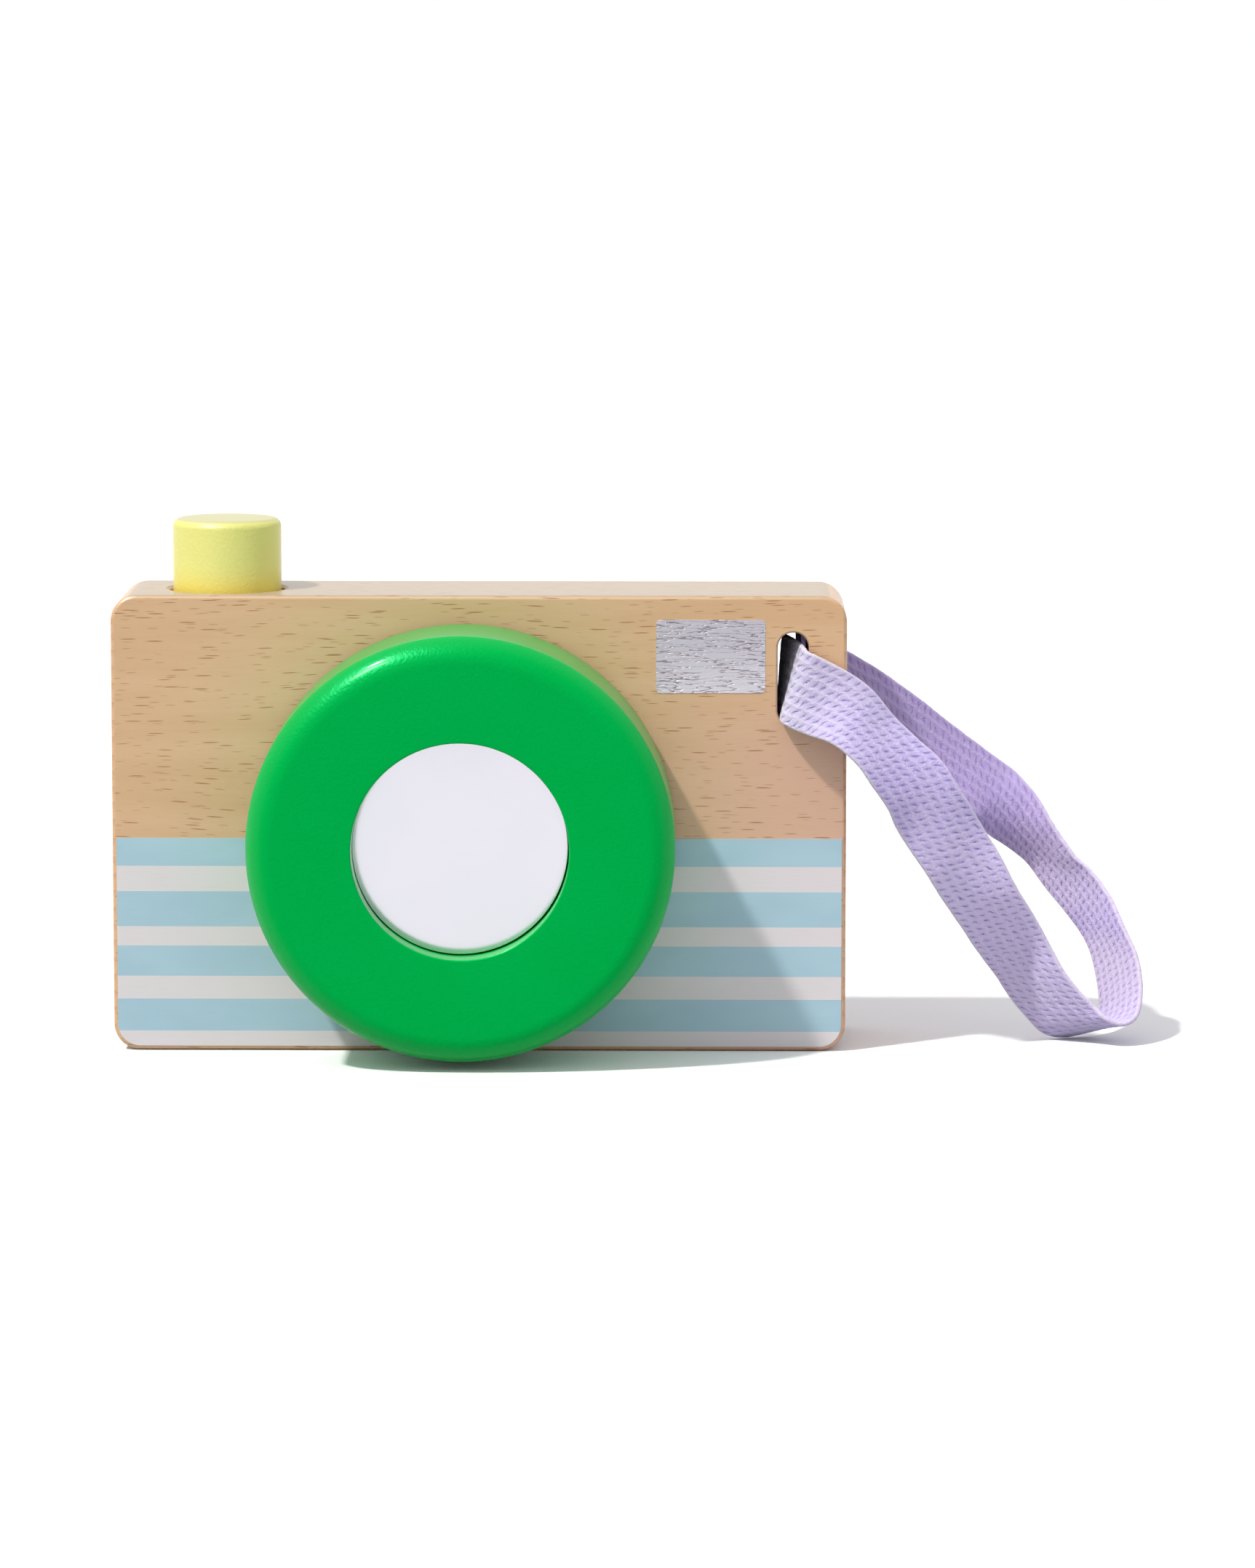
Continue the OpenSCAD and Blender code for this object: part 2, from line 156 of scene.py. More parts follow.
class Graph:
    """Node tree that shader expressions add their nodes to."""

    def __init__(self, tree: bpy.types.NodeTree) -> None:
        """Starts from an empty tree."""
        self.tree = tree
        tree.nodes.clear()

    def node(
        self,
        kind: str,
        settings: Optional[Dict[str, object]] = None,
        inputs: Optional[Dict[Union[str, int], Feed]] = None,
        output: Union[str, int] = 0,
    ) -> Sock:
        """Adds any node.

        Args:
            kind: Type of the node.
            settings: Properties of the node, which are set first.
            inputs: Values or links of its sockets.
            output: Name or number of the output to give back.

        Returns:
            The chosen output.
        """
        made = self.tree.nodes.new(kind)
        for key, value in (settings or {}).items():
            setattr(made, key, value)
        for key, value in (inputs or {}).items():
            self.feed(made.inputs[key], value)
        return Sock(self, made.outputs[output]) if made.outputs else None

    def feed(self, socket: bpy.types.NodeSocket, value: Feed) -> None:
        """Links a socket or sets its value.

        Args:
            socket: Input of a node.
            value: Output that feeds it, or its value.
        """
        if isinstance(value, Sock):
            self.tree.links.new(value.socket, socket)
        elif socket.type == "RGBA" and len(value) == 3:
            socket.default_value = (*value, 1.0)
        else:
            socket.default_value = value

    def math(self, operation: str, first: Feed, second: Feed = 0.0) -> Sock:
        """Adds a Math node."""
        return self.node("ShaderNodeMath", {"operation": operation}, {0: first, 1: second})

    def scaled(self, vector: Feed, factors: Sequence[float]) -> Sock:
        """Multiplies a vector part by part."""
        return self.node("ShaderNodeVectorMath", {"operation": "MULTIPLY"}, {0: vector, 1: factors})

    def mix(self, factor: Feed, first: Feed, second: Feed) -> Sock:
        """Mixes two colours."""
        inputs = {0: factor, 6: first, 7: second}
        return self.node("ShaderNodeMix", {"data_type": "RGBA"}, inputs, 2)

    def noise(self, place: Feed, scale: Feed, detail: float = 2.0, rough: float = 0.5) -> Sock:
        """Adds a noise with about so many cycles for each unit, all ways or along X, Y and Z."""
        vector = self.scaled(place, (scale,) * 3 if isinstance(scale, float) else scale)
        return self.node(
            "ShaderNodeTexNoise",
            None,
            {"Vector": vector, "Scale": 1.0, "Detail": detail, "Roughness": rough},
        )

    def millimetres(self) -> Sock:
        """Gives the piece's own coordinates in millimetres."""
        here = self.node("ShaderNodeTexCoord", None, None, "Object")
        return self.scaled(here, TO_MM)

    def parts(self, vector: Sock) -> Tuple[Sock, Sock, Sock]:
        """Splits a vector into its three parts."""
        first = self.node("ShaderNodeSeparateXYZ", None, {0: vector}, "X")
        return first, first.sibling("Y"), first.sibling("Z")

    def joined(self, x: Feed, y: Feed, z: Feed) -> Sock:
        """Makes a vector of three parts."""
        return self.node("ShaderNodeCombineXYZ", None, {0: x, 1: y, 2: z})

    def bump(self, height: Sock, strength: float = 1.0) -> Sock:
        """Turns a height in millimetres into a normal."""
        inputs = {"Strength": strength, "Distance": MM, "Height": height}
        return self.node("ShaderNodeBump", None, inputs)

    def surface(self, inputs: Dict[str, Feed], kind: str = "Principled") -> None:
        """Ends the tree in a surface with these values or links."""
        shader = self.node("ShaderNodeBsdf" + kind, None, inputs)
        self.node("ShaderNodeOutputMaterial", None, {"Surface": shader})

    def seen(self) -> Sock:
        """Tells rays that show the background from rays that light the toy.

        Returns:
            1 for a ray that shows it.
        """
        path = self.node("ShaderNodeLightPath", None, None, "Is Camera Ray")
        shown = self.math("MAXIMUM", path, path.sibling("Is Glossy Ray"))
        return self.math("MAXIMUM", shown, path.sibling("Is Transmission Ray"))


@dataclass(frozen=True)
class Finish:
    """Finish of a piece, which draws its nodes in a new material."""

    name: str

    def draw(self, graph: Graph) -> None:
        """Adds the finish's nodes."""
        raise NotImplementedError

    def make(self) -> bpy.types.Material:
        """Builds the material.

        Returns:
            The material, with its nodes.
        """
        material = bpy.data.materials.new(self.name)
        material.use_nodes = True
        self.draw(Graph(material.node_tree))
        return material


@dataclass(frozen=True)
class Beech(Finish):
    """Beech with long grain along X and short dark flecks. It has painted shade on its top face, a
    painted reflection of the strap on its low right, and optional painted shade on the strap slot's
    walls.
    """

    light: Triple = srgb(220, 180, 140)
    dark: Triple = srgb(211, 169, 126)
    # Painted reflection: pinkish light bounced from the strap, laid on the low right of the front.
    strap_bounce_tint: Triple = srgb(217, 174, 149)
    # Painted shade: a darker, greyer tone on the block's top face, above top_height.
    painted_top_shade: Triple = srgb(178, 158, 131)
    top_height: float = 74.7
    fleck: Triple = srgb(160, 100, 52)
    fleck_scale: Triple = (0.125, 1.8, 1.8)
    fleck_share: float = 0.8
    short_scale: Triple = (0.2, 2.1, 2.1)
    short_share: float = 0.45
    broad_scale: Triple = (0.012, 0.13, 0.13)
    bend_scale: Triple = (0.02, 0.05, 0.05)
    bend: float = 5.0
    end: Triple = srgb(214, 170, 128)
    late_wood: Triple = srgb(188, 140, 98)
    end_reach: float = 59.5
    pith: Tuple[float, float] = (-34.0, -52.0)
    year: float = 2.7
    sway: float = 4.0
    sway_scale: Triple = (0.05, 0.06, 0.06)
    speckle_scale: Triple = (0.05, 4.0, 4.0)
    pore_scale: Triple = (0.05, 1.9, 1.9)
    border: float = 0.2
    # Painted shade: a dark tone laid on the walls of the strap slot.
    painted_slot_shade: Triple = srgb(84, 62, 66)
    paints_slot_shade: bool = False
    slot_middle: Triple = (51.2, 0.0, 61.4)
    slot_reach: float = 5.1
    slot_radius: float = 2.5
    roughness: float = 0.4
    coat: float = 0.35

    def grain(self, graph: Graph) -> Tuple[Sock, Sock]:
        """Draws the grain, with painted shade on the top face and a painted reflection of the
        strap's pinkish light on the low right.

        Args:
            graph: Graph of the material.

        Returns:
            The colour and the height of the grain in millimetres.
        """
        here = graph.millimetres()
        x, y, z = graph.parts(here)
        bent = graph.joined(x, y, z + graph.noise(here, self.bend_scale, 1.0) * self.bend)
        broad = graph.noise(bent, self.broad_scale, 3.0, 0.6)
        fibre = graph.noise(bent, FIBRE_SCALE)
        flecks = self.flecks(graph, bent, self.fleck_scale)
        short = self.flecks(graph, bent, self.short_scale)
        colour = graph.mix(broad.step(0.3, 0.7), self.light, self.dark)
        # Painted reflection of the strap's pinkish bounce light on the low right of the block.
        strap_bounce_reach = x.step(10.0, 60.0) * (1.0 - z.step(48.0, 66.0))
        colour = graph.mix(strap_bounce_reach * 0.9, colour, self.strap_bounce_tint)
        # Painted shade on the top face.
        colour = graph.mix(self.past(z, self.top_height), colour, self.painted_top_shade)
        colour = graph.mix(fibre.step(0.4, 0.8) * 0.06, colour, self.fleck)
        colour = graph.mix(short * self.short_share, colour, self.fleck)
        colour = graph.mix(flecks * self.fleck_share, colour, self.fleck)
        ends = self.past(abs(x), self.end_reach)
        colour = graph.mix(ends, colour, self.end_grain(graph, here))
        return colour, fibre * 0.004 - flecks * (1.0 - ends) * 0.015

    def past(self, place: Sock, limit: float) -> Sock:
        """Marks what lies past a limit, with a soft border."""
        return place.step(limit - self.border, limit + self.border)

    def end_grain(self, graph: Graph, here: Sock) -> Sock:
        """Draws the year rings, rays and pores of the sawn ends.

        Args:
            graph: Graph of the material.
            here: Place in millimetres.

        Returns:
            The colour of the ends.
        """
        _, y, z = graph.parts(here)
        reach = ((y - self.pith[0]) ** 2.0 + (z - self.pith[1]) ** 2.0) ** 0.5
        sway = graph.noise(here, self.sway_scale) * self.sway
        late = ((reach + sway) / self.year).fract().step(0.35, 1.0)
        pores = self.flecks(graph, here, self.pore_scale)
        speckle = graph.noise(here, self.speckle_scale)
        colour = graph.mix(late * 0.55 + (speckle - 0.5) * 0.5, self.end, self.late_wood)
        return graph.mix(pores * self.short_share, colour, self.fleck)

    @staticmethod
    def flecks(graph: Graph, place: Sock, scale: Triple) -> Sock:
        """Marks short dashes along the grain, as many for each millimetre as the scale says."""
        inputs = {"Vector": graph.scaled(place, scale), "Scale": 1.0}
        return 1.0 - graph.node("ShaderNodeTexVoronoi", None, inputs).step(0.12, 0.22)

    def slot_mask(self, graph: Graph) -> Sock:
        """Marks the walls of the strap slot.

        Args:
            graph: Graph of the material.

        Returns:
            A mask that is 1 on the walls.
        """
        x, _, z = graph.parts(graph.millimetres())
        over = graph.math("MAXIMUM", abs(z - self.slot_middle[2]) - self.slot_reach, 0.0)
        aside = x - self.slot_middle[0]
        away = graph.math("SQRT", aside * aside + over * over)
        return 1.0 - away.step(self.slot_radius + 0.02, self.slot_radius + 0.14)

    def draw(self, graph: Graph) -> None:
        """Adds the grain, the lacquer and the painted shade on the slot's walls.

        Args:
            graph: Graph of the material.
        """
        colour, height = self.grain(graph)
        roughness: Feed = self.roughness
        coat: Feed = self.coat
        # The slot's walls get painted shade, more roughness and no coat.
        if self.paints_slot_shade:
            slot_wall_mask = self.slot_mask(graph)
            colour = graph.mix(slot_wall_mask, colour, self.painted_slot_shade)
            roughness = slot_wall_mask * 0.5 + self.roughness
            coat = (1.0 - slot_wall_mask) * self.coat
        graph.surface({
            "Base Color": colour,
            "Roughness": roughness,
            "Coat Weight": coat,
            "Coat Roughness": 0.18,
            "Normal": graph.bump(height),
        })


@dataclass(frozen=True)
class Print(Finish):
    """Bar of satin ink on beech, through which the grain shows, ragged at the block's edges."""

    ink: Triple
    pale: Triple
    wood: Triple = srgb(214, 170, 132)
    half_width: float = 59.6
    low_edge: float = 0.3
    ragged: float = 0.3

    def draw(self, graph: Graph) -> None:
        """Adds the mottled ink, the fibres in it and its worn edges.

        Args:
            graph: Graph of the material.
        """
        here = graph.millimetres()
        x, _, z = graph.parts(here)
        mottle = graph.noise(here, (0.06, 0.1, 0.12))
        fibre = graph.noise(here, FIBRE_SCALE)
        bite = graph.noise(here, 0.9, 3.0) * self.ragged
        inset = graph.math("MINIMUM", self.half_width - abs(x), z - self.low_edge)
        worn = 1.0 - (inset - bite).step(-0.2, 0.05)
        colour = graph.mix(mottle.step(0.3, 0.7), self.ink, self.pale)
        colour = graph.mix(fibre.step(0.5, 0.85) * 0.12, colour, self.wood)
        graph.surface({
            "Base Color": graph.mix(worn, colour, self.wood),
            "Roughness": 0.45,
            "Normal": graph.bump(fibre * 0.012),
        })


@dataclass(frozen=True)
class Foil(Finish):
    """Silver foil, pressed on to the wood and creased along its grain."""

    tone: Triple = srgb(192, 190, 199)
    # Darker tone towards the top of the foil.
    darker_top_tone: Triple = srgb(172, 170, 180)
    darker_from: float = 57.0
    darker_to: float = 69.0
    # Painted shade: a dark tone laid in the foil's creases.
    crease: Triple = srgb(82, 80, 92)
    crease_scale: Triple = (0.2, 1.8, 1.8)
    roughness: float = 0.34

    def draw(self, graph: Graph) -> None:
        """Adds the metal, its creases with painted shade in them, and its darker top.

        Args:
            graph: Graph of the material.
        """
        here = graph.millimetres()
        _, _, z = graph.parts(here)
        lines = graph.noise(here, self.crease_scale, rough=0.55)
        groove = 1.0 - abs(lines - 0.5).step(0.008, 0.045)
        # The foil gets darker towards the top.
        colour = graph.mix(z.step(self.darker_from, self.darker_to), self.tone, self.darker_top_tone)
        # The base colour darkens the creases with painted shade.
        graph.surface({
            "Base Color": graph.mix(groove * 0.75, colour, self.crease),
            "Metallic": 0.85,
            "Roughness": groove * 0.2 + self.roughness,
            "Normal": graph.bump(lines * 0.09 - groove * 0.03),
        })


@dataclass(frozen=True)
class GlossPaint(Finish):
    """Thick paint on turned wood, almost smooth, with more gloss where it turns away, and
    optionally a painted reflection of the wood at its foot and painted shade on its top.
    """

    colour: Triple
    thin: Triple
    tint: Triple = (1.0, 1.0, 1.0)
    roughness: float = 0.3
    specular: float = 0.5
    coat: float = 0.3
    rolled_coat: float = 0.0
    grazing_coat: float = 0.0
    coat_roughness: float = 0.2
    cloud_scale: float = 0.07
    peel_scale: float = 1.9
    # Painted reflection: warm light bounced from the wood, laid on the lowest part of the button as
    # foot.
    foot: Optional[Triple] = None
    wood_bounce_low: float = 74.0
    wood_bounce_high: float = 79.5
    # Painted shade: a darker tone on the button's top face, from top_low up.
    painted_top_shade: Optional[Triple] = None
    top_low: float = 86.1
    top_high: float = 86.5

    def draw(self, graph: Graph) -> None:
        """Adds the paint, its fine unevenness and its gloss.

        Args:
            graph: Graph of the material.
        """
        here = graph.millimetres()
        cloud = graph.noise(here, self.cloud_scale)
        peel = graph.noise(here, self.peel_scale)
        turned_away = graph.node("ShaderNodeLayerWeight", None, {"Blend": 0.5}, "Facing")
        colour = graph.mix(cloud.step(0.35, 0.75) * 0.35, self.colour, self.thin)
        if self.foot:
            _, _, z = graph.parts(here)
            # Painted reflection of warm light from the wood at the button's foot.
            colour = graph.mix(1.0 - z.step(self.wood_bounce_low, self.wood_bounce_high), colour, self.foot)
            # Painted shade on the top face.
            colour = graph.mix(z.step(self.top_low, self.top_high), colour, self.painted_top_shade)
        gloss = turned_away.step(0.06, 0.22) * self.rolled_coat
        gloss = turned_away.step(0.55, 0.9) * self.grazing_coat + gloss + self.coat
        graph.surface({
            "Base Color": colour,
            "Roughness": peel * 0.08 + self.roughness,
            "Specular IOR Level": self.specular,
            "Specular Tint": self.tint,
            "Coat Weight": gloss,
            "Coat Roughness": self.coat_roughness,
            "Normal": graph.bump(peel * 0.06),
        })


@dataclass(frozen=True)
class PaleDisc(Finish):
    """Satin silvered disc with a faint cloud, which shows the pale studio as lilac white."""

    tone: Triple = srgb(206, 204, 212)
    cloud: Triple = srgb(204, 204, 211)
    roughness: float = 0.12

    def draw(self, graph: Graph) -> None:
        """Adds the metal and its cloud."""
        cloud = graph.noise(graph.millimetres(), 0.06)
        graph.surface({
            "Base Color": graph.mix(cloud.step(0.35, 0.65), self.tone, self.cloud),
            "Metallic": 1.0,
            "Roughness": cloud * 0.06 + self.roughness,
        })


@dataclass(frozen=True)
class Weave:
    """Sizes of the tape's weave, in millimetres: columns of yarn with slanted pits between them."""

    width: float = 12.5
    column: float = 1.75
    pitch: float = 1.35
    stagger: float = 0.42
    pit_across: float = 0.52
    pit_along: float = 0.2
    selvedge: float = 0.8

    def drawn(self, across: Feed, along: Feed, floor: Rule, exp: Rule) -> Tuple[Feed, Feed]:
        """Draws the weave, in numbers for the mesh or in nodes for the colour.

        Args:
            across: Distance from one edge of the tape.
            along: Distance along the tape.
            floor: How to round down.
            exp: How to take the exponential.

        Returns:
            The pits, from 0 to 1, and the squared distance from a column's middle, up to 0.25.
        """
        place = across / self.column
        off = place - floor(place) - 0.5
        turn = along / self.pitch - off + floor(place) * self.stagger
        turn = turn - floor(turn) - 0.5
        near = (off * (self.column / self.pit_across)) ** 2.0
        near = near + (turn * (self.pitch / self.pit_along)) ** 2.0
        return exp(0.0 - near), off * off

    def height(self, across: float, along: float) -> float:
        """Gives the weave's height at a place, from 0 in a pit to 1 on a yarn."""
        pit, aside = self.drawn(across, along, math.floor, math.exp)
        return (0.6 + 1.6 * aside) * (1.0 - pit)


@dataclass(frozen=True)
class Stretch:
    """Stretch of the tape in another colour, used for painted light and painted shade, with soft
    ends, in millimetres along it.
    """

    rise: float
    full: float
    fall: float
    gone: float
    colour: Triple
    share: float

    def tinted(self, graph: Graph, along: Sock, colour: Sock) -> Sock:
        """Gives the colour of the tape with this stretch in it."""
        reach = along.step(self.rise, self.full) * (1.0 - along.step(self.fall, self.gone))
        return graph.mix(reach * self.share, colour, self.colour)


@dataclass(frozen=True)
class WovenTape(Finish):
    """Dyed cotton tape with paler selvedges. It reads its own UV map, in millimetres."""

    weave: Weave
    yarn: Triple = srgb(222, 212, 250)
    # Painted shade: valley is the darker tone in the low middle of each yarn column, pit the darker
    # tone in the pits.
    valley_shade: Triple = srgb(188, 171, 230)
    pit: Triple = srgb(132, 113, 180)
    edge: Triple = srgb(224, 213, 226)
    # Painted light: paler stretches on the front limb, the rear limb and the tip, and a paler,
    # greyer stretch by the slot.
    painted_light_stretches: Tuple[Stretch, ...] = (
        Stretch(-3.0, -2.0, 0.0, 48.0, srgb(214, 212, 217), 0.7),
        Stretch(38.0, 64.0, 94.0, 104.0, srgb(227, 216, 255), 0.8),
        Stretch(120.0, 130.0, 136.0, 144.0, srgb(227, 216, 255), 0.8),
        Stretch(102.0, 108.0, 116.0, 124.0, srgb(214, 202, 218), 0.5),
    )
    shaded: Stretch = Stretch(136.0, 154.0, 300.0, 301.0, srgb(160, 140, 190), 0.55)

    def draw(self, graph: Graph) -> None:
        """Adds the yarns, their pits, the uneven dye and the fuzz, with painted shade in the
        valleys and pits and painted light on the paler stretches.

        Args:
            graph: Graph of the material.
        """
        sizes = self.weave
        across, along, _ = graph.parts(graph.node("ShaderNodeTexCoord", None, None, "UV"))
        pit, aside = sizes.drawn(across, along, Sock.floor, Sock.exp)
        yarn = aside * 4.0
        fuzz = graph.noise(graph.joined(across, along, 0.0), (2.4, 2.2, 1.0), 3.0, 0.65)
        cloud = graph.noise(graph.joined(across, along, 7.0), (0.1, 0.06, 1.0))
        half = sizes.width / 2
        rim = (abs(across - half) - (half - sizes.selvedge)).step(0.0, sizes.selvedge)
        # Painted shade in the low middle of the yarn columns, broken by the fuzz.
        colour = graph.mix(yarn * 0.45 + (fuzz - 0.5) * 2.2 + 0.36, self.valley_shade, self.yarn)
        # Painted light along the paler stretches.
        for light_stretch in self.painted_light_stretches:
            colour = light_stretch.tinted(graph, along, colour)
        # Painted shade in the weave's pits.
        colour = graph.mix(pit * fuzz.step(0.34, 0.58), colour, self.pit)
        colour = graph.mix(rim * 0.4, colour, self.edge)
        colour = graph.mix(cloud.step(0.35, 0.75) * 0.15, colour, self.edge)
        relief = (1.0 - pit) * (yarn * 0.5 + 0.5) * 0.18
        graph.surface({
            "Base Color": self.shaded.tinted(graph, along, colour),
            "Roughness": 0.85,
            "Specular IOR Level": 0.2,
            "Subsurface Weight": 0.6,
            "Subsurface Radius": (0.8, 0.75, 1.0),
            "Subsurface Scale": MM,
            "Sheen Weight": 0.3,
            "Sheen Roughness": 0.4,
            "Normal": graph.bump(relief + fuzz * 0.3, 0.9),
        })


@dataclass(frozen=True)
class Felt(Finish):
    """Dark pressed felt."""

    tone: Triple = srgb(72, 70, 72)
    fluff: Triple = srgb(104, 100, 102)

    def draw(self, graph: Graph) -> None:
        """Adds the fluff."""
        fluff = graph.noise(graph.millimetres(), 2.5, 4.0, 0.7)
        graph.surface({
            "Base Color": graph.mix(fluff.step(0.4, 0.7), self.tone, self.fluff),
            "Roughness": 0.95,
            "Normal": graph.bump(fluff * 0.2),
        })


@dataclass(frozen=True)
class DrawnSteel(Finish):
    """Bright spring wire with fine drawing marks."""

    tone: Triple = srgb(196, 196, 200)

    def draw(self, graph: Graph) -> None:
        """Adds the metal and its drawing marks."""
        marks = graph.noise(graph.millimetres(), (3.0, 3.0, 9.0))
        graph.surface({"Base Color": self.tone, "Metallic": 1.0, "Roughness": marks * 0.2 + 0.2})


@dataclass(frozen=True)
class Adhesive(Finish):
    """Pale foam adhesive with fine pores."""

    tone: Triple = srgb(222, 220, 212)
    pore: Triple = srgb(186, 184, 176)

    def draw(self, graph: Graph) -> None:
        """Adds the foam and its pores.

        Args:
            graph: Graph of the material.
        """
        pores = graph.noise(graph.millimetres(), 4.0, 3.0)
        colour = graph.mix(pores.step(0.45, 0.7), self.tone, self.pore)
        graph.surface({"Base Color": colour, "Roughness": 0.8})


@dataclass(frozen=True)
class PaleFloor(Finish):
    """Matt floor that shows almost white and lights the toy as a greyer one."""

    shown: Triple = (0.98, 0.98, 0.98)
    bounce: Triple = (0.42, 0.42, 0.42)

    def draw(self, graph: Graph) -> None:
        """Adds the floor's two tones."""
        tone = graph.mix(graph.seen(), self.bounce, self.shown)
        graph.surface({"Color": tone}, "Diffuse")


def mesh_object(name: str, shape: Shape, sharp_angle: float = SHARP_ANGLE) -> Piece:
    """Turns a bmesh into an object at the origin.

    Args:
        name: Name of the piece.
        shape: Mesh in its place, which is freed.
        sharp_angle: Edges over this angle stay sharp.

    Returns:
        The new object.
    """
    mesh = bpy.data.meshes.new(name)
    shape.to_mesh(mesh)
    shape.free()
    mesh.shade_smooth()
    mesh.set_sharp_from_angle(angle=sharp_angle)
    made = bpy.data.objects.new(name, mesh)
    bpy.context.scene.collection.objects.link(made)
    return made


def place_piece(piece: Piece, body: Body, finish: Finish, node: str) -> None:
    """Dresses a new piece and lets it ride on a body.

    Args:
        piece: The piece, in its place.
        body: Body that it moves with.
        finish: Finish of the piece.
        node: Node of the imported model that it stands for.
    """
    piece.data.materials.append(finish.make())
    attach(piece, body.value)
    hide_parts(node)
    LOG.info("%s: %d faces on %s", piece.name, len(piece.data.polygons), body.value)


def dress_node(node: str, finish: Finish) -> None:
    """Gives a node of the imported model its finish.

    Args:
        node: Name of the node.
        finish: Its finish.
    """
    material = finish.make()
    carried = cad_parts[node]
    if not carried.material_slots:
        carried.data.materials.append(material)
    for slot in carried.material_slots:
        slot.material = material
    LOG.info("%s: dressed in %s", node, material.name)


@dataclass(frozen=True)
class Corner:
    """Corner of a turned profile: distance from the axis, station along it and rounding."""

    radius: float
    station: float
    rounding: float = 0.0


def turned(
    corners: Sequence[Corner], foot: Vector, along: Vector, outward: Vector, steps: int
) -> Shape:
    """Turns a closed profile on its axis.

    Args:
        corners: Corners of the profile, in order.
        foot: Point of the axis at station 0.
        along: Direction of the axis.
        outward: Direction from the axis in the profile's plane.
        steps: Number of steps round the axis.

    Returns:
        The turned shape with outward normals.
    """
    shape = bmesh.new()
    points = [shape.verts.new(foot + along * c.station + outward * c.radius) for c in corners]
    shape.faces.new(points)
    for point, corner in zip(points, corners):
        if corner.rounding:
            bmesh.ops.bevel(
                shape, geom=[point], offset=corner.rounding, offset_type="OFFSET",
                segments=ROUNDING_STEPS, profile=0.5, affect="VERTICES", material=-1,
            )
    bmesh.ops.delete(shape, geom=shape.faces[:], context="FACES_ONLY")

    def on_axis(point: bmesh.types.BMVert) -> bool:
        """Says whether a point lies on the axis."""
        return abs((point.co - foot).dot(outward)) < WELD

    core = [e for e in shape.edges if all(on_axis(v) for v in e.verts)]
    bmesh.ops.delete(shape, geom=core, context="EDGES")
    bmesh.ops.spin(
        shape, geom=shape.verts[:] + shape.edges[:], cent=foot, axis=along,
        angle=2.0 * math.pi, steps=steps, use_merge=True,
    )
    bmesh.ops.remove_doubles(shape, verts=shape.verts[:], dist=10 * WELD)
    bmesh.ops.recalc_face_normals(shape, faces=shape.faces[:])
    return shape


@dataclass
class Block:
    """Beech block with its printed bars and its foil flash. Sizes are in metres."""

    foil_middle: Triple = (0.0378, -0.0125, 0.0651)
    foil_width: float = 0.0178
    foil_height: float = 0.012
    foil_corner: float = 0.0008
    foil_rise: float = 0.0001
    crease_depth: float = 0.00006
    foil_steps: Tuple[int, int] = (110, 150)

    def foil_shape(self) -> Shape:
        """Makes the creased foil with round corners and a turned-down rim.

        Returns:
            The foil, in its place.
        """
        shape = bmesh.new()
        columns, rows = self.foil_steps
        size = Matrix.Diagonal((self.foil_width / 2, self.foil_height / 2, 1.0, 1.0))
        bmesh.ops.create_grid(shape, x_segments=columns, y_segments=rows, size=1.0, matrix=size)
        middle = Vector(self.foil_middle)
        for point in shape.verts:
            x, z = self.rounded(point.co.x, point.co.y)
            dip = self.crease(x / MM, z / MM) * self.crease_depth
            point.co = middle + Vector((x, -self.foil_rise + dip, z))
        rim = [e for e in shape.edges if e.is_boundary]
        wall = bmesh.ops.extrude_edge_only(shape, edges=rim)["geom"]
        for point in (g for g in wall if isinstance(g, bmesh.types.BMVert)):
            point.co.y = middle.y
        bmesh.ops.recalc_face_normals(shape, faces=shape.faces[:])
        return shape

    def rounded(self, x: float, z: float) -> Tuple[float, float]:
        """Pulls a point of the foil into its round corners.

        Args:
            x: Distance from the foil's middle to the right.
            z: Distance from the foil's middle upwards.

        Returns:
            The point's new place.
        """
        flat_x = self.foil_width / 2 - self.foil_corner
        flat_z = self.foil_height / 2 - self.foil_corner
        over_x, over_z = abs(x) - flat_x, abs(z) - flat_z
        if over_x <= 0.0 or over_z <= 0.0:
            return x, z
        pull = max(over_x, over_z) / math.hypot(over_x, over_z)
        return math.copysign(flat_x + over_x * pull, x), math.copysign(flat_z + over_z * pull, z)

    @staticmethod
    def crease(x: float, z: float) -> float:
        """Gives the depth of the creases at a place of the foil, in millimetres from its middle.

        Args:
            x: Place to the right.
            z: Place upwards.

        Returns:
            The depth, from 0 to 1.
        """
        swell = noise.noise(Vector((x * 0.3, z * 1.1, 2.0)))
        line = noise.fractal(Vector((x * 0.33, z * 1.9, 9.0)), 0.8, 2.1, 3)
        return max(0.0, min(1.0, 0.35 + 0.3 * swell + 0.6 * math.exp(-((line / 0.11) ** 2))))

    def build(self) -> None:
        """Makes the foil and dresses the block and its print."""
        blue = Print("blue_ink", srgb(167, 200, 217), srgb(174, 207, 222))
        white = Print("white_ink", srgb(225, 220, 223), srgb(229, 220, 225))
        # The block's beech carries painted shade on its slot's walls.
        dress_node("body_block", Beech("lacquered_beech", paints_slot_shade=True))
        dress_node("stripes_blue", blue)
        dress_node("stripes_white", white)
        foil = mesh_object("flash_foil_creased", self.foil_shape())
        place_piece(foil, Body.CAMERA, Foil("creased_foil"), "flash_foil")


